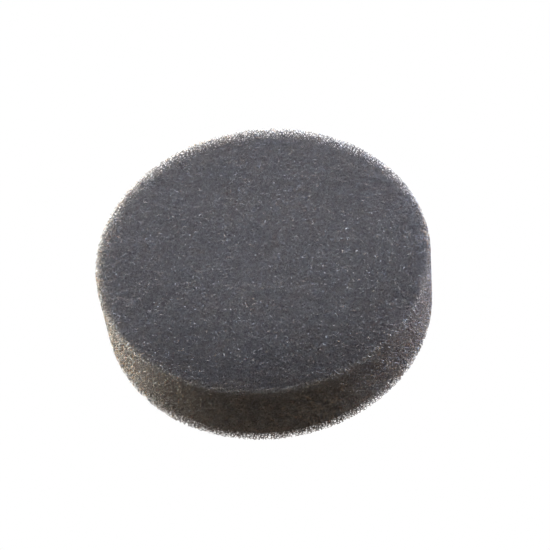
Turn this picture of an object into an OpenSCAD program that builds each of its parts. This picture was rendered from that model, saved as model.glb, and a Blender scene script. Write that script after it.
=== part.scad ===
// Foam polishing pad: a disc of open-cell foam bonded to a hook-and-loop backing.
// The pad stands on its loop face, with the working face up. Millimetres, +Z up.
// The origin is the centre of the loop face.

/* [Foam] */
// Diameter of the foam disc
pad_d = 80; // [50:1:200]
// Thickness of the foam disc
foam_t = 20; // [12:0.5:48]
// Rounding of the rim of the working face
face_rim_r = 0.6; // [0.2:0.1:3]
// Rounding of the rim on the backing side
back_rim_r = 0.4; // [0.2:0.1:2]

/* [Backing] */
// Thickness of the glue film between the foam and the backing
film_t = 0.2; // [0.1:0.05:0.5]
// Thickness of the knitted ground of the loop fabric
ground_t = 0.4; // [0.2:0.05:1]
// Height of the loop pile under the ground
pile_t = 0.9; // [0.5:0.1:2.5]
// How far the backing's edge lies inside the foam's edge
backing_inset = 2.5; // [0:0.1:5]
// How far the glue's edge lies inside the backing's edge
film_inset = 0.5; // [0:0.1:2]

/* [Hidden] */
$fn = 192;
pad_r = pad_d / 2;
backing_r = pad_r - backing_inset;
film_r = backing_r - film_inset;
ground_z = pile_t;
film_z = ground_z + ground_t;
foam_z = film_z + film_t;

// A flat disc from z up to z + t
module layer(r, z, t) {
    translate([0, 0, z])
        cylinder(r = r, h = t);
}

// Half of the outline of a disc with a rounding at each rim
module rounded_half(r, t, low_r, high_r) {
    square([r - high_r, t]);
    square([r - low_r, t - high_r]);
    translate([0, low_r])
        square([r, t - low_r - high_r]);
    translate([r - low_r, low_r])
        circle(r = low_r);
    translate([r - high_r, t - high_r])
        circle(r = high_r);
}

// The open-cell foam that does the polishing
module foam_disc() {
    color([0.24, 0.24, 0.26])
        translate([0, 0, foam_z])
            rotate_extrude()
                rounded_half(pad_r, foam_t, back_rim_r, face_rim_r);
}

// Hot-melt film that laminates the loop fabric to the foam
module glue_film() {
    color([0.75, 0.72, 0.65])
        layer(film_r, film_z, film_t);
}

// Knitted ground of the loop fabric, which carries the pile
module loop_ground() {
    color([0.16, 0.16, 0.17])
        layer(backing_r, ground_z, ground_t);
}

// Brushed loops that the hooks of a backing plate catch
module loop_pile() {
    color([0.20, 0.20, 0.21])
        layer(backing_r, 0, pile_t);
}

foam_disc();
glue_film();
loop_ground();
loop_pile();
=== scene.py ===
import itertools
import math

import bpy
import numpy as np
from mathutils import Euler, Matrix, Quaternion, Vector


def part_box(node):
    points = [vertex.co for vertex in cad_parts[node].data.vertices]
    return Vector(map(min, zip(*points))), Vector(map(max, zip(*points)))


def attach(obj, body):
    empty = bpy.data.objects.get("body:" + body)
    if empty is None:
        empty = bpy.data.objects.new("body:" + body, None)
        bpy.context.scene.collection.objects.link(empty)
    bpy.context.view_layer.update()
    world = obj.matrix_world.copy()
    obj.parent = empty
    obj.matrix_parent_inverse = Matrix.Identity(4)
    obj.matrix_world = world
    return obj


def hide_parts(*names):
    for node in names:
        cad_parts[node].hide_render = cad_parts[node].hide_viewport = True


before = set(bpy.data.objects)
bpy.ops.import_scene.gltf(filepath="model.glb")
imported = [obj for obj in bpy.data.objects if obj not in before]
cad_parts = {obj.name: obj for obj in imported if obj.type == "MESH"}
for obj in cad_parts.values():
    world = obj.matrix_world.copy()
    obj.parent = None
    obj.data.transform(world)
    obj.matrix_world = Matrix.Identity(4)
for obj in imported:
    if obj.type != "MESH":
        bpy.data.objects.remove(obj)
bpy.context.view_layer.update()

# A foam polishing pad: open-cell foam struts round a denser core, on a loop backing.
# Lengths are in metres, in the frame of the CAD model, with +Z from the loops to the working face.

MM = 0.001
TURN = 2 * math.pi
TINY = 1e-12  # keeps a division from being by zero
BODY = "root"
WHITE = (1, 1, 1)

# Foam: one strut network, cut off at the outline of the disc
CELL = 0.92 * MM  # edge of the cube that holds two foam cells
RISE_STRETCH = 1.15  # cells are longer along the direction in which the foam rose
NETWORK_TURN = (0.61, 0.37, 0.23)  # no row of cells lines up with the pad
NETWORK_MARGIN = 1.9  # how far out of the outline and into the core it is laid out, in cell cubes
SPARE_CUBES = 3  # cubes past the pad's radius that are tried for it
SEED_JITTER = 0.13 * MM  # how far each cell's middle is out of its regular place
WARP = 0.12 * MM  # how far the whole network is bent out of its regular order
WARP_LENGTH = (2.0, 5.0)  # shortest and longest wave of that bending, in cell cubes
CORNER_REACH = 0.35  # how far a joint may be from the middle of its four cells, in cell cubes
FLAT_CELLS = 0.02  # four cells that span less than this share of a cube have no sharp corner
JOINT_R = 0.069 * MM  # size of the joint where four struts meet
JOINT_SPREAD = 0.20  # how unequal neighbouring joints are
CLUMP_SPREAD = 0.12  # how unequal the joints of one patch of foam and the next are
CLUMP_LENGTH = (1.0 * MM, 3.2 * MM)  # shortest and longest wave of those patches
SPREAD_LIMIT = 2  # how many spreads a joint or a patch may be out of the usual
LUMP_SHARE = 0.02  # share of the joints where the foam is left as a thicker lump
LUMP_GROWTH = 1.35  # how much thicker
SHELL = 1.4 * MM  # depth of the open struts over the core
OUTLINE_RIM_R = 0.5 * MM  # rounding of the foam's rims
CORE_RIM_R = 1.8 * MM  # rounding of the core above
CORE_FOOT_R = 3.0 * MM  # rounding of the core below, where it stands on the glue
EMBED = 0.25 * MM  # joints this deep in the core still have their struts
CUT_GAP = 0.02 * MM  # a joint closer to the outline than this is cut away
SHORTEST_STUB = 0.01 * MM
LONGEST_STUB = 1.6  # longest edge of a cut strut, against the distance from its joint to the cut
STUB_SPARE = 0.05 * MM  # and this much more
MIN_LEAN = 0.35  # a strut that meets the outline at a lower slope stops short of it
FOAM_PIECES = 18  # sectors of the foam, each a piece of its own

# Foam: how light its struts are, against the colour of their part
STRUT_TONES = (0.77, 0.93, 1.09, 1.26)
TONE_LIMITS = (-0.67, 0.0, 0.67)  # where one tone gives way to the next
TONE_BY_PATCH = 0.65  # how far the tone follows the patch of foam
TONE_BY_CHANCE = 0.76  # how far it differs from one strut to the next
PAINTED_GLINT_SHARE = 0.01  # share of the struts that are lighter still: painted glints
# how much lighter those struts are: a painted highlight on their facets
PAINTED_GLINT_TONE = 1.45
PAINTED_LIGHT_EDGE_BAND = 0.9 * MM  # struts this close to both the side and a flat face belong to the edge, drawn lighter as a painted highlight along the top rim and a painted glow of light through the bottom fringe

# Foam: the colour of each part's struts, how strongly their tones differ, how far red, green and blue
# light go in them, against each other, and how far light goes in all
STRUT_LOOKS = {
    # the face: a slightly bluer copy of the foam, a painted tint of the cool light from above
    "face": ((0.035, 0.035, 0.038), 1.0, (1.0, 0.72, 0.52), 0.20 * MM),
    # the side: a darker, warmer copy with a wider spread of tones, painted shade on the side
    "side": ((0.031, 0.030, 0.029), 1.7, (1.0, 0.68, 0.46), 0.26 * MM),
    # the edge: a lighter copy, a painted highlight on the top rim and a painted glow of the floor's light
    # through the bottom fringe
    "edge": ((0.047, 0.046, 0.045), 0.6, (1.0, 0.72, 0.52), 0.32 * MM),
}

# Foam core: the depths of the foam behind the open struts
CORE_STEP = 0.42 * MM  # spacing of its rings of points
CORE_SEGMENTS = 560
UNDER_RINGS = 9  # rings on the flat underside, which the glue hides
PIT_PITCH = 0.95 * MM
PIT_R = 0.62 * MM
PIT_DEPTH = 0.30 * MM
PIT_TABLE = 64  # the pits repeat after this many pitches
PIT_FROM = 0.02 * MM  # height over the underside where the pits start

# Loop fabric: knitted ground with a pile of loops
KNIT_GRID = 300  # squares of the mesh across the ground
WALE = 1.0 * MM  # spacing of the columns of stitches
COURSE = 0.9 * MM  # spacing of the rows of stitches
STITCH_RELIEF = 0.12 * MM  # depth of the gaps between the yarns
STITCH_NECK = 0.10  # height of the yarn where it dips between two stitches, against its full height
BAND_SCALE = 0.314  # a wave texture of this scale has one band to the metre
LOOPS_PER_STITCH = 2
LOOP_STEPS = 7  # rings of points along a loop
LOOP_SIDES = 3  # points in each ring
LOOP_R = 0.042 * MM  # radius of the thread
LOOP_WIDTH = (0.35 * MM, 0.65 * MM)  # narrowest and widest, between the feet
LOOP_BULGE = 0.4  # how much a loop swells below its feet, against half an ellipse
LOOP_HEIGHT = (0.68, 0.95)  # lowest and highest, against the pile's height
LOOP_LEAN = 0.30 * MM  # how far its lowest point is off to the side, at most, along X and along Y
LOOP_PIECES = 2
LOOP_TONES = (0.7, 1.0, 1.35)
LOOP_COLOUR = (0.030, 0.030, 0.033)

WAVES = 36  # plane waves in each smooth noise

# The seed of each random draw
SEEDS = {
    "bends of the network": 11,
    "middles of the cells": 12,
    "sizes of the joints": 13,
    "tones of the struts": 14,
    "patches of size": 15,
    "patches of tone": 16,
    "lumps": 17,
    "pits": 21,
    "feet of the loops": 31,
    "shapes of the loops": 32,
}


def rng(use):
    """The random draw for one use."""
    return np.random.default_rng(SEEDS[use])


def waves(p, use, lengths, channels):
    """Smooth noise of unit spread at each point, from plane waves in every direction."""
    draw = rng(use)
    total = np.zeros((len(p), channels))
    for _ in range(WAVES):
        direction = draw.normal(size=3)
        direction /= np.linalg.norm(direction)
        length = draw.uniform(*lengths)
        push = draw.normal(size=channels)
        phase = draw.uniform(0, TURN)
        total += np.sin(p @ direction * (TURN / length) + phase)[:, None] * push
    return total * math.sqrt(2 / WAVES)


# ---------------------------------------------------------------- meshes


class MeshBits:
    """The points and faces of one mesh, gathered bit by bit."""

    def __init__(self):
        self.verts, self.loops, self.sizes, self.slots = [], [], [], []
        self.count = 0

    def add_points(self, points):
        """Adds points, and gives the number of the first."""
        first = self.count
        self.verts.append(points.reshape(-1, 3))
        self.count += len(self.verts[-1])
        return first

    def add_faces(self, faces, slots=0):
        """Adds faces with one number of corners: rows of point numbers, anticlockwise from outside."""
        self.loops.append(faces.ravel())
        self.sizes.append(np.full(len(faces), faces.shape[1]))
        self.slots.append(np.broadcast_to(slots, len(faces)))

    def build(self, name, materials):
        mesh = bpy.data.meshes.new(name)
        sizes = np.concatenate(self.sizes)
        loops = np.concatenate(self.loops)
        mesh.vertices.add(self.count)
        mesh.vertices.foreach_set("co", np.concatenate(self.verts).astype(np.float32).ravel())
        mesh.loops.add(len(loops))
        mesh.loops.foreach_set("vertex_index", loops.astype(np.int32))
        mesh.polygons.add(len(sizes))
        mesh.polygons.foreach_set("loop_start", (np.cumsum(sizes) - sizes).astype(np.int32))
        mesh.polygons.foreach_set("material_index", np.concatenate(self.slots).astype(np.int32))
        for material in materials:
            mesh.materials.append(material)
        mesh.update(calc_edges=True)
        mesh.shade_smooth()
        obj = bpy.data.objects.new(name, mesh)
        bpy.context.scene.collection.objects.link(obj)
        return obj


def sides_between(low, high):
    """Quads from each ring of point numbers in low to its partner in high."""
    turned = np.roll(np.arange(low.shape[-1]), -1)
    return np.stack([low, low[..., turned], high[..., turned], high], -1).reshape(-1, 4)


# ---------------------------------------------------------------- materials


def node(tree, kind, inputs=None, **settings):
    """Adds a node, sets its properties, and fills its inputs with values or links."""
    made = tree.nodes.new(kind)
    for key, value in settings.items():
        setattr(made, key, value)
    for key, value in (inputs or {}).items():
        if isinstance(value, bpy.types.NodeSocket):
            tree.links.new(value, made.inputs[key])
        else:
            made.inputs[key].default_value = value
    return made


def new_material(name, colour, **sockets):
    """A Principled material, its tree and its shader."""
    material = bpy.data.materials.new(name)
    material.use_nodes = True
    shader = material.node_tree.nodes["Principled BSDF"]
    shader.inputs["Base Color"].default_value = (*colour, 1)
    for key, value in sockets.items():
        shader.inputs[key.replace("_", " ")].default_value = value
    return material, material.node_tree, shader


def scaled(colour, k):
    return tuple(channel * k for channel in colour)


def two_colours(tree, factor, low, high, start=0.0, stop=1.0):
    """A colour that runs from low to high while factor goes from start to stop."""
    ramp = node(tree, "ShaderNodeValToRGB", {"Fac": factor})
    for element, place, colour in zip(ramp.color_ramp.elements, (start, stop), (low, high)):
        element.position = place
        element.color = (*colour, 1)
    return ramp.outputs["Color"]


def spread(tree, factor, low, high):
    """A number that runs from low to high while factor goes from 0 to 1."""
    return node(tree, "ShaderNodeMapRange", {"Value": factor, "To Min": low, "To Max": high}).outputs[0]


def places(tree):
    """Points of the piece in its own frame, which texture nodes read."""
    return node(tree, "ShaderNodeTexCoord").outputs["Object"]


def strut_material(name, colour, glow, depth):
    """Polyurethane of the struts of one part and tone: dark, with some light passing through."""
    material, tree, shader = new_material(
        name,
        colour,
        Roughness=0.65,
        Subsurface_Weight=1.0,
        Subsurface_Radius=glow,
        Subsurface_Scale=depth,
    )
    grain = node(tree, "ShaderNodeTexNoise", {"Vector": places(tree), "Scale": 2600.0, "Detail": 2.0})
    tree.links.new(spread(tree, grain.outputs["Fac"], 0.05, 0.25), shader.inputs["Specular IOR Level"])
    return material


def strut_materials():
    """Each tone of strut for the working face, then for the cut side, and then for the edges: the side's
    copies carry painted shade, the edges' a painted highlight and glow.
    """
    made = []
    for part, (colour, contrast, glow, depth) in STRUT_LOOKS.items():
        for number, tone in enumerate((*STRUT_TONES, PAINTED_GLINT_TONE), 1):
            name = f"{part}_strut_{number}"
            made.append(strut_material(name, scaled(colour, tone**contrast), glow, depth))
    return made


def core_material():
    """Foam seen through the struts: cell middles painted darker than the lighter walls between them, as
    painted shade in the pores.
    """
    material, tree, shader = new_material("foam_core", (0.02, 0.02, 0.022), Roughness=0.8)
    at = places(tree)
    cells = node(
        tree, "ShaderNodeTexVoronoi", {"Vector": at, "Scale": 1150.0}, feature="DISTANCE_TO_EDGE"
    )
    walls = cells.outputs["Distance"]
    # darker towards each cell's middle: painted shade in the pores
    colour = two_colours(tree, walls, (0.034, 0.034, 0.037), (0.009, 0.009, 0.010), 0.02, 0.22)
    tree.links.new(colour, shader.inputs["Base Color"])
    rough = node(tree, "ShaderNodeTexNoise", {"Vector": at, "Scale": 900.0})
    tree.links.new(spread(tree, rough.outputs["Fac"], 0.65, 0.95), shader.inputs["Roughness"])
    bump = node(
        tree, "ShaderNodeBump", {"Height": walls, "Distance": 0.2 * MM, "Strength": 0.8}, invert=True
    )
    tree.links.new(bump.outputs["Normal"], shader.inputs["Normal"])
    return material


def thread_material(name, tone):
    """Nylon thread of the pile: dark, with the sheen of fine filaments."""
    material, tree, shader = new_material(
        name, scaled(LOOP_COLOUR, tone), Roughness=0.5, Sheen_Weight=0.25, Sheen_Roughness=0.4
    )
    strands = node(tree, "ShaderNodeTexNoise", {"Vector": places(tree), "Scale": 4000.0, "Detail": 3.0})
    tree.links.new(spread(tree, strands.outputs["Fac"], 0.2, 0.8), shader.inputs["Specular IOR Level"])
    return material


def ground_material():
    """Knitted ground: lighter and darker columns, with the fine grain of the yarn."""
    material, tree, shader = new_material("knit_ground", (0.02, 0.02, 0.022), Roughness=0.75)
    at = places(tree)
    bands = {"Vector": at, "Scale": BAND_SCALE / WALE, "Distortion": 1.2, "Detail": 2.0}
    columns = node(tree, "ShaderNodeTexWave", bands).outputs["Fac"]
    colour = two_colours(tree, columns, (0.014, 0.014, 0.016), (0.040, 0.040, 0.044), 0.1, 0.9)
    tree.links.new(colour, shader.inputs["Base Color"])
    fibres = node(tree, "ShaderNodeTexNoise", {"Vector": at, "Scale": 5000.0, "Detail": 3.0})
    tree.links.new(spread(tree, fibres.outputs["Fac"], 0.6, 0.95), shader.inputs["Roughness"])
    bump = node(
        tree, "ShaderNodeBump", {"Height": fibres.outputs["Fac"], "Distance": 0.04 * MM, "Strength": 0.6}
    )
    tree.links.new(bump.outputs["Normal"], shader.inputs["Normal"])
    return material


def glue_material():
    """Hot-melt web between foam and fabric: milky, with thicker clouds."""
    material, tree, shader = new_material(
        "glue", (0.5, 0.47, 0.41), Roughness=0.4, Subsurface_Weight=0.5, Subsurface_Scale=0.3 * MM
    )
    at = places(tree)
    clouds = node(tree, "ShaderNodeTexNoise", {"Vector": at, "Scale": 450.0, "Detail": 3.0})
    colour = two_colours(tree, clouds.outputs["Fac"], (0.40, 0.37, 0.31), (0.60, 0.57, 0.50), 0.3, 0.7)
    tree.links.new(colour, shader.inputs["Base Color"])
    tree.links.new(spread(tree, clouds.outputs["Fac"], 0.3, 0.6), shader.inputs["Roughness"])
    return material


# ---------------------------------------------------------------- foam network


class Disc:
    """A disc with a rounded rim above and below, for telling how far a point is from its surface."""

    def __init__(self, radius, low, high, rim, foot):
        self.radius, self.low, self.high, self.rim, self.foot = radius, low, high, rim, foot

    def distance(self, p):
        """Distance to the surface, negative inside."""
        middle, half = (self.low + self.high) / 2, (self.high - self.low) / 2
        rounding = np.where(p[:, 2] > middle, self.rim, self.foot)
        out = np.hypot(p[:, 0], p[:, 1]) - (self.radius - rounding)
        up = np.abs(p[:, 2] - middle) - (half - rounding)
        corner = np.hypot(np.maximum(out, 0), np.maximum(up, 0))
        return corner + np.minimum(np.maximum(out, up), 0) - rounding

    def outward(self, p):
        """Direction away from the surface at each point."""
        step = 0.01 * MM
        slope = [self.distance(p + step * axis) - self.distance(p - step * axis) for axis in np.eye(3)]
        return unit(np.stack(slope, 1))


def unit(vectors):
    """The same directions at a length of 1."""
    return vectors / np.maximum(np.linalg.norm(vectors, axis=-1, keepdims=True), TINY)


# The joints in one cube of a regular foam of 14-sided cells, in quarters of the cube
CORNERS = np.array(
    [c for c in itertools.product(range(4), repeat=3) if sorted(c) in ([0, 1, 2], [0, 2, 3])]
)
KEY_BASE = 4096  # more quarters than the network has along an axis


def key_of(place):
    """One whole number for each whole-number place."""
    c = place.astype(np.int64) + KEY_BASE // 2
    return (c[..., 0] * KEY_BASE + c[..., 1]) * KEY_BASE + c[..., 2]


def steps_from(corner, along_two, along_zero, side):
    """The four neighbours of each joint, or the four cell middles around it, in quarters of a cube.

    One of a joint's coordinates is odd, one is at a whole cube and one is at half a cube. Two of the four
    lie to either side of the joint along each of the last two axes."""
    rest = corner % 4
    odd = np.argmax(rest % 2 == 1, axis=1)
    zero = np.argmax(rest == 0, axis=1)
    two = np.argmax(rest == 2, axis=1)
    rows = np.arange(len(corner))
    to_two = np.where(rest[rows, odd] == 1, 1, -1)
    found = []
    for axis, along in ((two, along_two), (zero, along_zero)):
        for sign in (1, -1):
            step = corner.copy()
            step[rows, odd] += along * to_two
            step[rows, axis] += sign * side
            found.append(step)
    return np.stack(found, 1)


def corner_places(around):
    """The joint of each four cells: the point as far from one cell middle as from the next."""
    middle = around.mean(1)
    base = around[:, 0]
    rows = around[:, 1:] - base[:, None]
    half_square = (rows**2).sum(2) / 2
    sharp = np.abs(np.linalg.det(rows)) > FLAT_CELLS * CELL**3
    p = middle.copy()
    p[sharp] = base[sharp] + np.linalg.solve(rows[sharp], half_square[sharp][..., None])[..., 0]
    away = p - middle
    reach = np.linalg.norm(away, axis=1, keepdims=True)
    return middle + away * np.minimum(1, CORNER_REACH * CELL / np.maximum(reach, TINY))


def network(outer, core):
    """Joints of the foam near the surface: their places, and the numbers of each one's neighbours,
    or -1 for a neighbour that isn't there."""
    turn = np.array(Euler(NETWORK_TURN).to_matrix())
    stretch = np.array([1, 1, RISE_STRETCH])
    middle = np.array([0, 0, (outer.low + outer.high) / 2])

    def place(quarters):
        return quarters * (CELL / 4) @ turn.T * stretch + middle

    reach = math.ceil(outer.radius / CELL + SPARE_CUBES)
    cubes = np.arange(-reach, reach + 1)
    cube = np.stack(np.meshgrid(cubes, cubes, cubes, indexing="ij"), -1).reshape(-1, 3)
    at = place(cube * 4 + 2)
    near = NETWORK_MARGIN * CELL
    cube = cube[(outer.distance(at) < near) & (core.distance(at) > -near)]
    corner = (cube[:, None, :] * 4 + CORNERS[None]).reshape(-1, 3)

    around = steps_from(corner, along_two=-1, along_zero=1, side=2)
    _, first, back = np.unique(key_of(around), return_index=True, return_inverse=True)
    cells = place(around.reshape(-1, 3)[first].astype(float))
    lengths = tuple(length * CELL for length in WARP_LENGTH)
    bends = waves(cells, "bends of the network", lengths, 3) * WARP
    cells += bends + rng("middles of the cells").normal(size=cells.shape) * SEED_JITTER
    joints = corner_places(cells[back.reshape(len(corner), 4)])

    key = key_of(corner)
    order = np.argsort(key)
    wanted = key_of(steps_from(corner, along_two=1, along_zero=-1, side=1))
    found = order[np.minimum(np.searchsorted(key[order], wanted), len(key) - 1)]
    return joints, np.where(key[found] == wanted, found, -1)


class Foam:
    """The open struts between the outline and the core. Each joint is a tetrahedron, and each strut
    a prism from one of its faces, so that the struts and joints of a piece are one closed surface."""

    OTHERS = np.array([[k for k in range(4) if k != j] for j in range(4)])

    def __init__(self, outer, core):
        self.outer = outer
        self.places, self.neighbours = network(outer, core)
        self.depth = -outer.distance(self.places)
        inside = (self.depth > CUT_GAP) & (core.distance(self.places) > -EMBED)
        self.kept = inside & (self.neighbours >= 0).all(1)
        self.along = unit(self.places[np.maximum(self.neighbours, 0)] - self.places[:, None])
        self.corners = self.places[:, None] - self.along * self.sizes()[:, None, None]
        self.joint, self.slot = np.nonzero(np.repeat(self.kept[:, None], 4, 1))
        self.far = self.neighbours[self.joint, self.slot]
        self.tone = self.tones()
        sector = np.arctan2(self.places[:, 1], self.places[:, 0]) / TURN % 1 * FOAM_PIECES
        owner = np.where(self.kept[self.far], np.minimum(self.joint, self.far), self.joint)
        self.home = sector.astype(int)[owner]

    def sizes(self):
        """How big each joint is: like its patch of foam, but not quite, with a few thicker lumps."""
        own = rng("sizes of the joints").normal(size=len(self.places))
        patch = waves(self.places, "patches of size", CLUMP_LENGTH, 1)[:, 0]
        own, patch = own.clip(-SPREAD_LIMIT, SPREAD_LIMIT), patch.clip(-SPREAD_LIMIT, SPREAD_LIMIT)
        size = JOINT_R * (1 + JOINT_SPREAD * own + CLUMP_SPREAD * patch)
        size[rng("lumps").random(len(size)) < LUMP_SHARE] *= LUMP_GROWTH
        return size

    def tones(self):
        """The material slot of each strut: how light it is, in the part of the foam where it lies."""
        draw = rng("tones of the struts")
        patch = waves(self.places[self.joint], "patches of tone", CLUMP_LENGTH, 1)[:, 0]
        level = TONE_BY_PATCH * patch + TONE_BY_CHANCE * draw.normal(size=len(patch))
        # a few struts take the lightest tone, painted glints
        painted_glint = draw.random(len(patch)) < PAINTED_GLINT_SHARE
        tone = np.where(painted_glint, len(STRUT_TONES), np.digitize(level, TONE_LIMITS))
        x, y, z = self.places[self.joint].T
        from_side = self.outer.radius - np.hypot(x, y)
        from_top = self.outer.high - z
        from_flat = np.minimum(from_top, z - self.outer.low)
        # struts along both rims take the edge's lighter colour: painted highlight and painted glow
        at_painted_light_edge = np.maximum(from_side, from_flat) < PAINTED_LIGHT_EDGE_BAND
        parts = list(STRUT_LOOKS)
        # struts nearer the side than the top take the side's darker copy, painted shade
        flat_or_side = np.where(from_side < from_top, parts.index("side"), parts.index("face"))
        part = np.where(at_painted_light_edge, parts.index("edge"), flat_or_side)
        return tone + part * (len(STRUT_TONES) + 1)

    def facing(self, joints, slots, along):
        """Which three corners of each joint face a strut, anticlockwise about the strut."""
        pick = self.OTHERS[slots]
        t = self.corners_at(joints, pick)
        turned = (np.cross(t[:, 1] - t[:, 0], t[:, 2] - t[:, 0]) * along).sum(1) < 0
        pick[turned] = pick[turned][:, ::-1]
        return pick

    def corners_at(self, joints, pick):
        """Where the picked corners of each joint are."""
        return self.corners[joints][np.arange(len(joints))[:, None], pick]

    def untwisted(self, a, near, b, far):
        """The far triangle's corners in the order that twists the strut least."""
        start, stop = self.corners_at(a, near), self.corners_at(b, far)
        start = start - start.mean(1, keepdims=True)
        stop = stop - stop.mean(1, keepdims=True)
        gaps = [((np.roll(stop, -turn, axis=1) - start) ** 2).sum((1, 2)) for turn in range(3)]
        turn = np.argmin(gaps, axis=0)
        return np.take_along_axis(far, (np.arange(3) + turn[:, None]) % 3, 1)

    def add_whole(self, bits, local, here):
        """Struts between two joints."""
        a, b, slot = self.joint[here], self.far[here], self.slot[here]
        along = self.along[a, slot]
        near = self.facing(a, slot, along)
        back = np.argmax(self.neighbours[b] == a[:, None], axis=1)
        far = self.untwisted(a, near, b, self.facing(b, back, along))
        quads = sides_between(local[a][:, None] * 4 + near, local[b][:, None] * 4 + far)
        bits.add_faces(quads, np.repeat(self.tone[here], 3))

    def add_ended(self, bits, local, here):
        """Struts that are cut off flush with the outline, or that run on into the core."""
        a, b, slot = self.joint[here], self.far[here], self.slot[here]
        along = self.along[a, slot]
        near = self.facing(a, slot, along)
        start = self.corners_at(a, near)
        outside = self.depth[b] < CUT_GAP
        drop = np.maximum(self.depth[a] - self.depth[b], TINY)
        share = np.where(outside, self.depth[a] / drop, 1.0).clip(0, 1)
        end = self.places[a] + (self.places[b] - self.places[a]) * share[:, None]
        face = self.outer.outward(end)
        lean = (along * face).sum(1, keepdims=True).clip(MIN_LEAN)
        to_face = ((end[:, None] - start) * face[:, None]).sum(2) / lean
        length = np.linalg.norm(end - self.places[a], axis=1)[:, None]
        travel = np.where(outside[:, None], to_face, length).clip(SHORTEST_STUB)
        travel = np.minimum(travel, length * LONGEST_STUB + STUB_SPARE)
        tip = bits.add_points(start + along[:, None] * travel[..., None])
        tip = tip + np.arange(len(a) * 3).reshape(-1, 3)
        bits.add_faces(sides_between(local[a][:, None] * 4 + near, tip), np.repeat(self.tone[here], 3))
        bits.add_faces(tip, self.tone[here])

    def add_closed(self, bits, nodes, used):
        """A face over each side of a joint whose strut belongs to the piece next door."""
        row, slot = np.nonzero(~used)
        joints = nodes[row]
        pick = self.facing(joints, slot, self.along[joints, slot])
        bits.add_faces(row[:, None] * 4 + pick)

    def piece(self, number, materials):
        """One sector of the foam's struts."""
        mine = self.home == number
        joined = self.kept[self.far]
        nodes = np.unique(np.concatenate([self.joint[mine], self.far[mine & joined]]))
        local = np.full(len(self.places), -1)
        local[nodes] = np.arange(len(nodes))
        used = np.zeros((len(nodes), 4), bool)
        used[local[self.joint[mine]], self.slot[mine]] = True
        bits = MeshBits()
        bits.add_points(self.corners[nodes])
        self.add_whole(bits, local, np.nonzero(mine & joined & (self.joint < self.far))[0])
        self.add_ended(bits, local, np.nonzero(mine & ~joined)[0])
        self.add_closed(bits, nodes, used)
        return bits.build(f"foam_struts_{number + 1}", materials)


# ---------------------------------------------------------------- foam core


def quarter_turn(r):
    """Steps of angle round a rim, from after 0 to 90 degrees."""
    return np.linspace(0, math.pi / 2, math.ceil(r * math.pi / 2 / CORE_STEP) + 1)[1:]


def core_profile(solid):
    """Half of the core's outline, from its underside round to its top, without the points on the axis."""
    low, high, rim, foot = solid.low, solid.high, solid.rim, solid.foot
    below, above = solid.radius - foot, solid.radius - rim
    start, stop = quarter_turn(foot), quarter_turn(rim)
    under = np.linspace(0, below, UNDER_RINGS + 1)[1:]
    up = np.linspace(low + foot, high - rim, math.ceil((high - low) / CORE_STEP))[1:]
    top = np.linspace(above, 0, math.ceil(above / CORE_STEP))[1:-1]
    parts = [
        (under, np.full(len(under), low)),
        (below + foot * np.sin(start), low + foot * (1 - np.cos(start))),
        (np.full(len(up), solid.radius), up),
        (above + rim * np.cos(stop), high - rim * (1 - np.sin(stop))),
        (top, np.full(len(top), high)),
    ]
    return np.concatenate([np.stack(part, 1) for part in parts])


def pits(p):
    """How deep a foam cell dents the core at each point, from 0 to 1."""
    table = rng("pits").random((PIT_TABLE, PIT_TABLE, PIT_TABLE, 3))
    home = np.floor(p / PIT_PITCH).astype(int)
    nearest = np.full(len(p), np.inf)
    for step in itertools.product((-1, 0, 1), repeat=3):
        cell = home + step
        middle = (cell + table[tuple((cell % PIT_TABLE).T)]) * PIT_PITCH
        nearest = np.minimum(nearest, np.linalg.norm(p - middle, axis=1))
    return (1 - (nearest / PIT_R) ** 2).clip(0)


def foam_core(solid):
    """The inside of the foam: a closed disc, pitted by the cells behind the struts."""
    profile = core_profile(solid)
    angle = np.arange(CORE_SEGMENTS) * TURN / CORE_SEGMENTS
    ring = np.stack([np.cos(angle), np.sin(angle)], 1)
    p = np.concatenate(
        [profile[:, None, :1] * ring, np.repeat(profile[:, None, 1:], CORE_SEGMENTS, 1)], 2
    ).reshape(-1, 3)
    dent = pits(p) * PIT_DEPTH * (p[:, 2] > solid.low + PIT_FROM)
    bits = MeshBits()
    bits.add_points(p - solid.outward(p) * dent[:, None])
    number = np.arange(len(p)).reshape(len(profile), CORE_SEGMENTS)
    bits.add_faces(sides_between(number[:-1], number[1:]))
    low = bits.add_points(np.array([[0, 0, solid.low], [0, 0, solid.high]]))
    high = low + 1
    turned = np.roll(np.arange(CORE_SEGMENTS), -1)
    first, last = number[0], number[-1]
    bits.add_faces(np.stack([np.full(CORE_SEGMENTS, low), first[turned], first], 1))
    bits.add_faces(np.stack([np.full(CORE_SEGMENTS, high), last, last[turned]], 1))
    return bits.build("foam_core", [core_material()])


# ---------------------------------------------------------------- loop fabric


def stitch_height(x, y):
    """Height of the knit, from 0 in the gaps to 1 on the yarn: columns of V-shaped stitches."""
    column = x / WALE
    across = np.abs(column - np.round(column)) * 2
    row = y / COURSE + across / 2
    swell = (1 + np.cos(TURN * row)) / 2
    return np.sqrt(1 - across**2) * (STITCH_NECK + (1 - STITCH_NECK) * swell)


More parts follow.
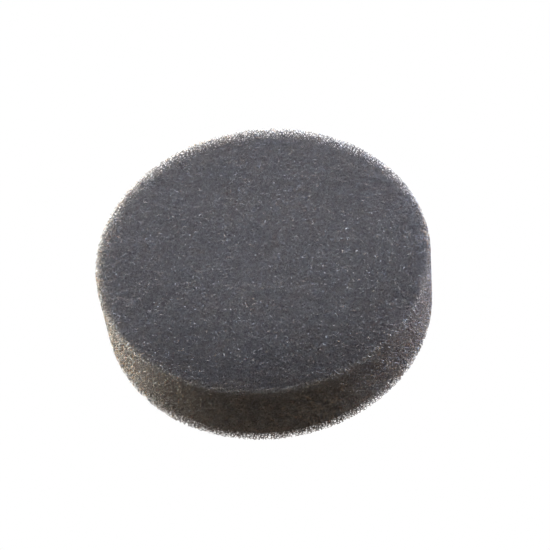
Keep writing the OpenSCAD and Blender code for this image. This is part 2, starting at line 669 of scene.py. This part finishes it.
def knit_ground(low, high):
    """The knitted ground of the loop fabric: stitches under it, flat where the glue holds it.

    Its mesh is a square grid, bent to a disc, whose border is drawn up to a flat top."""
    line = np.linspace(-1, 1, KNIT_GRID + 1)
    u, v = np.meshgrid(line, line, indexing="ij")
    x = u * np.sqrt(1 - v**2 / 2) * high.x
    y = v * np.sqrt(1 - u**2 / 2) * high.x
    z = low.z + STITCH_RELIEF * (1 - stitch_height(x, y))
    bits = MeshBits()
    bits.add_points(np.stack([x, y, z], -1))
    number = np.arange(u.size).reshape(u.shape)
    bits.add_faces(
        np.stack([number[:-1, :-1], number[:-1, 1:], number[1:, 1:], number[1:, :-1]], -1).reshape(-1, 4)
    )
    border = np.concatenate([number[:-1, 0], number[-1, :-1], number[:0:-1, -1], number[0, :0:-1]])
    rim = np.stack([x.ravel()[border], y.ravel()[border], np.full(len(border), high.z)], 1)
    top = bits.add_points(rim) + np.arange(len(border))
    bits.add_faces(sides_between(border, top))
    bits.add_faces(top[None])
    return bits.build("knit_ground", [ground_material()])


def loop_feet(radius):
    """Where the loops stand: some at each stitch, a little out of line."""
    columns = np.arange(-math.ceil(radius / WALE), math.ceil(radius / WALE) + 1) * WALE
    rows = np.arange(-math.ceil(radius / COURSE), math.ceil(radius / COURSE) + 1) * COURSE
    feet = np.stack(np.meshgrid(columns, rows, indexing="ij"), -1).reshape(-1, 2)
    feet = np.repeat(feet, LOOPS_PER_STITCH, 0)
    feet = feet + rng("feet of the loops").uniform(-0.5, 0.5, feet.shape) * (WALE, COURSE)
    return feet[np.hypot(feet[:, 0], feet[:, 1]) < radius - LOOP_WIDTH[1] / 2 - LOOP_LEAN]


def loop_paths(draw, feet, low, high):
    """The middle line of each loop of thread, bent and leaning its own way, and the way across it."""
    count = len(feet)
    heading = draw.uniform(0, TURN, count)
    run = np.stack([np.cos(heading), np.sin(heading), np.zeros(count)], 1)
    across = np.stack([-np.sin(heading), np.cos(heading), np.zeros(count)], 1)
    half = draw.uniform(*LOOP_WIDTH, count)[:, None] / 2
    tall = draw.uniform(*LOOP_HEIGHT, count)[:, None] * (high.z - low.z)
    lean = draw.uniform(-LOOP_LEAN, LOOP_LEAN, (count, 2))
    angle = np.linspace(0, math.pi, LOOP_STEPS)
    rise = np.sin(angle)
    sway = np.pad(lean[:, None] * rise[:, None] ** 2, ((0, 0), (0, 0), (0, 1)))
    foot = np.pad(feet, ((0, 0), (0, 1)), constant_values=high.z + LOOP_R)
    out = half * np.cos(angle) * (1 + LOOP_BULGE * rise)
    path = foot[:, None] + sway + run[:, None] * out[..., None]
    path[..., 2] -= tall * rise
    return path, across


def pile_loops(low, high, materials):
    """Loops of nylon thread that hang out of the ground."""
    draw = rng("shapes of the loops")
    path, across = loop_paths(draw, loop_feet(high.x), low, high)
    side = unit(np.cross(unit(np.gradient(path, axis=1)), across[:, None]))
    turn = np.arange(LOOP_SIDES) * TURN / LOOP_SIDES
    ring = np.cos(turn)[:, None] * across[:, None, None] + np.sin(turn)[:, None] * side[:, :, None]
    points = path[:, :, None] + LOOP_R * ring
    tone = draw.integers(0, len(LOOP_TONES), len(path))
    piece = np.arange(len(path)) * LOOP_PIECES // len(path)
    return [
        loops_piece(f"pile_loops_{k + 1}", points[piece == k], tone[piece == k], materials)
        for k in range(LOOP_PIECES)
    ]


def loops_piece(name, points, tone, materials):
    """Closed tubes through rings of points: one for each loop."""
    bits = MeshBits()
    bits.add_points(points)
    number = np.arange(points[..., 0].size).reshape(points.shape[:3])
    per_loop = LOOP_SIDES * (LOOP_STEPS - 1)
    bits.add_faces(sides_between(number[:, :-1], number[:, 1:]), np.repeat(tone, per_loop))
    bits.add_faces(number[:, 0, ::-1], tone)
    bits.add_faces(number[:, -1], tone)
    return bits.build(name, materials)


# ---------------------------------------------------------------- the pad

foam_low, foam_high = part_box("foam_disc")
outline = Disc(foam_high.x, foam_low.z, foam_high.z, OUTLINE_RIM_R, OUTLINE_RIM_R)
inside = Disc(foam_high.x - SHELL, foam_low.z, foam_high.z - SHELL, CORE_RIM_R, CORE_FOOT_R)
strut_tones = strut_materials()
foam = Foam(outline, inside)
struts = [foam.piece(number, strut_tones) for number in range(FOAM_PIECES)]
core = foam_core(inside)
for piece in (core, *struts):
    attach(piece, BODY)
    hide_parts("foam_disc")

ground_low, ground_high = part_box("loop_ground")
ground = knit_ground(ground_low, ground_high)
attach(ground, BODY)
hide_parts("loop_ground")

threads = [thread_material(f"pile_thread_{n + 1}", tone) for n, tone in enumerate(LOOP_TONES)]
for piece in pile_loops(*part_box("loop_pile"), threads):
    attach(piece, BODY)
    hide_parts("loop_pile")

glue = glue_material()
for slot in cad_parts["glue_film"].material_slots:
    slot.material = glue


# ---------------------------------------------------------------- floor, light and camera

FLOOR_SIZE = 4.0
AMBIENT = 1.0  # strength of the white floor and of the white all round

# The black card over the pad's front
FLAG_GAP = 12 * MM  # how far in front of the foam's edge the card's foot is
FLAG_WIDTH = 110 * MM
FLAG_LOW = 20 * MM  # height of the foot
FLAG_HIGH = 75 * MM  # height of the head
FLAG_LEAN = 30 * MM  # how much further back the head is than the foot

LAMP_FROM = 0.7  # distance of each lamp from what it is aimed at

# Red, green and blue of the light, from the palest tint to the bluest
PALE = (0.88, 1.04, 1.12)
COOL = (0.84, 0.97, 1.20)
SKY = (0.64, 0.92, 1.60)

# Each soft box's azimuth and elevation in degrees, diameter, power in watts and tint. The low ones and
# the rear ones are wholly below the working face, so they light only the side.
LAMPS = {
    "overhead": (180, 80, 0.40, 2.1, COOL),
    "left_high": (255, 45, 0.40, 3.0, COOL),
    "right_high": (105, 45, 0.40, 5.2, COOL),
    "left_low": (249, 0.9, 0.02, 5.4, PALE),
    "left_rear": (230, 0.9, 0.02, 14.0, PALE),
    "right_low": (105, 0.9, 0.02, 4.0, SKY),
    "right_rear": (125, 0.9, 0.02, 4.2, SKY),
}

# The spot overhead, whose edge falls across the front of the pad
SPOT_ELEVATION = 80
SPOT_AIM = 85 * MM  # how far behind the middle of the pad it is aimed
SPOT_REACH = 115 * MM  # radius of its patch of light, at the distance of the lamp
SPOT_BLEND = 0.15
SPOT_RADIUS = 30 * MM
SPOT_POWER = 28


def direction(azimuth, elevation):
    """From the pad towards a place: azimuth 0 is the front, -Y, and 90 is +X."""
    a, e = math.radians(azimuth), math.radians(elevation)
    return Vector((math.sin(a) * math.cos(e), -math.cos(a) * math.cos(e), math.sin(e)))


def add_lamp(data, power, tint, place, target):
    """Puts a lamp at a place and turns it to a target."""
    data.energy = power * max(tint)
    data.color = scaled(tint, 1 / max(tint))
    obj = bpy.data.objects.new(data.name, data)
    obj.location = place
    obj.rotation_mode = "QUATERNION"
    obj.rotation_quaternion = (target - place).to_track_quat("-Z", "Y")
    bpy.context.scene.collection.objects.link(obj)
    obj.visible_camera = False


def soft_box(name, azimuth, elevation, size, power, tint):
    """A round soft box that shines on the pad."""
    data = bpy.data.lights.new(name, "AREA")
    data.shape = "DISK"
    data.size = size
    add_lamp(data, power, tint, direction(azimuth, elevation) * LAMP_FROM, Vector())


def overhead_spot():
    """A spot from above, aimed behind the pad's middle."""
    data = bpy.data.lights.new("overhead_spot", "SPOT")
    data.shadow_soft_size = SPOT_RADIUS
    data.spot_blend = SPOT_BLEND
    data.spot_size = 2 * math.atan(SPOT_REACH / LAMP_FROM)
    target = Vector((0, SPOT_AIM, foam_high.z))
    add_lamp(data, SPOT_POWER, COOL, target + direction(180, SPOT_ELEVATION) * LAMP_FROM, target)


def flag():
    """A black card that leans over the pad's front, out of the camera's sight, and dims it."""
    bits = MeshBits()
    half = FLAG_WIDTH / 2
    y = -(foam_high.x + FLAG_GAP)
    back = y + FLAG_LEAN
    foot = [(-half, y, FLAG_LOW), (half, y, FLAG_LOW)]
    head = [(half, back, FLAG_HIGH), (-half, back, FLAG_HIGH)]
    bits.add_points(np.array(foot + head))
    bits.add_faces(np.arange(4)[None])
    material, _, _ = new_material("black_card", (0.005, 0.005, 0.005), Roughness=1.0)
    card = bits.build("flag", [material])
    card.visible_camera = False
    card.visible_transmission = False


def floor():
    """A glowing white table, which isn't in the way of a view from below."""
    bits = MeshBits()
    half = FLOOR_SIZE / 2
    bits.add_points(np.array([[-half, -half, 0], [half, -half, 0], [half, half, 0], [-half, half, 0]]))
    bits.add_faces(np.arange(4)[None])
    material = bpy.data.materials.new("floor")
    material.use_nodes = True
    tree = material.node_tree
    tree.nodes.clear()
    side = node(tree, "ShaderNodeNewGeometry").outputs["Backfacing"]
    glow = node(tree, "ShaderNodeEmission", {"Color": (*WHITE, 1), "Strength": AMBIENT})
    clear = node(tree, "ShaderNodeBsdfTransparent")
    mix = node(tree, "ShaderNodeMixShader", {0: side, 1: glow.outputs[0], 2: clear.outputs[0]})
    node(tree, "ShaderNodeOutputMaterial", {"Surface": mix.outputs[0]})
    bits.build("floor", [material])


def surroundings():
    """White all round, as in a light tent."""
    world = bpy.data.worlds.new("studio")
    world.use_nodes = True
    background = world.node_tree.nodes["Background"]
    background.inputs["Color"].default_value = (*WHITE, 1)
    background.inputs["Strength"].default_value = AMBIENT
    bpy.context.scene.world = world


# The camera, in metres and degrees, with the focal length in millimetres
CAM_DISTANCE = 0.441
CAM_ELEVATION = 52.0
CAM_ROLL = -7.8
CAM_FOCAL = 119.4
AIM_RIGHT = 2.3 * MM  # how far to the right of the foam's middle it is aimed, in its own view
AIM_UP = 0.8 * MM  # and how far above


def camera():
    """A long lens from above the front, turned a little about its own axis."""
    data = bpy.data.cameras.new("camera")
    data.lens = CAM_FOCAL
    obj = bpy.data.objects.new("camera", data)
    bpy.context.scene.collection.objects.link(obj)
    middle = Vector((0, 0, (foam_low.z + foam_high.z) / 2))
    back = direction(0, CAM_ELEVATION)
    roll = Quaternion((0, 0, 1), math.radians(CAM_ROLL))
    facing = (-back).to_track_quat("-Z", "Y") @ roll
    aim = middle + facing @ Vector((AIM_RIGHT, AIM_UP, 0))
    obj.location = middle + back * CAM_DISTANCE
    obj.rotation_mode = "QUATERNION"
    obj.rotation_quaternion = (aim - obj.location).to_track_quat("-Z", "Y") @ roll
    bpy.context.scene.camera = obj


for lamp_name, settings in LAMPS.items():
    soft_box(lamp_name, *settings)
overhead_spot()
flag()
floor()
surroundings()
camera()
bpy.context.scene.view_settings.view_transform = "Standard"
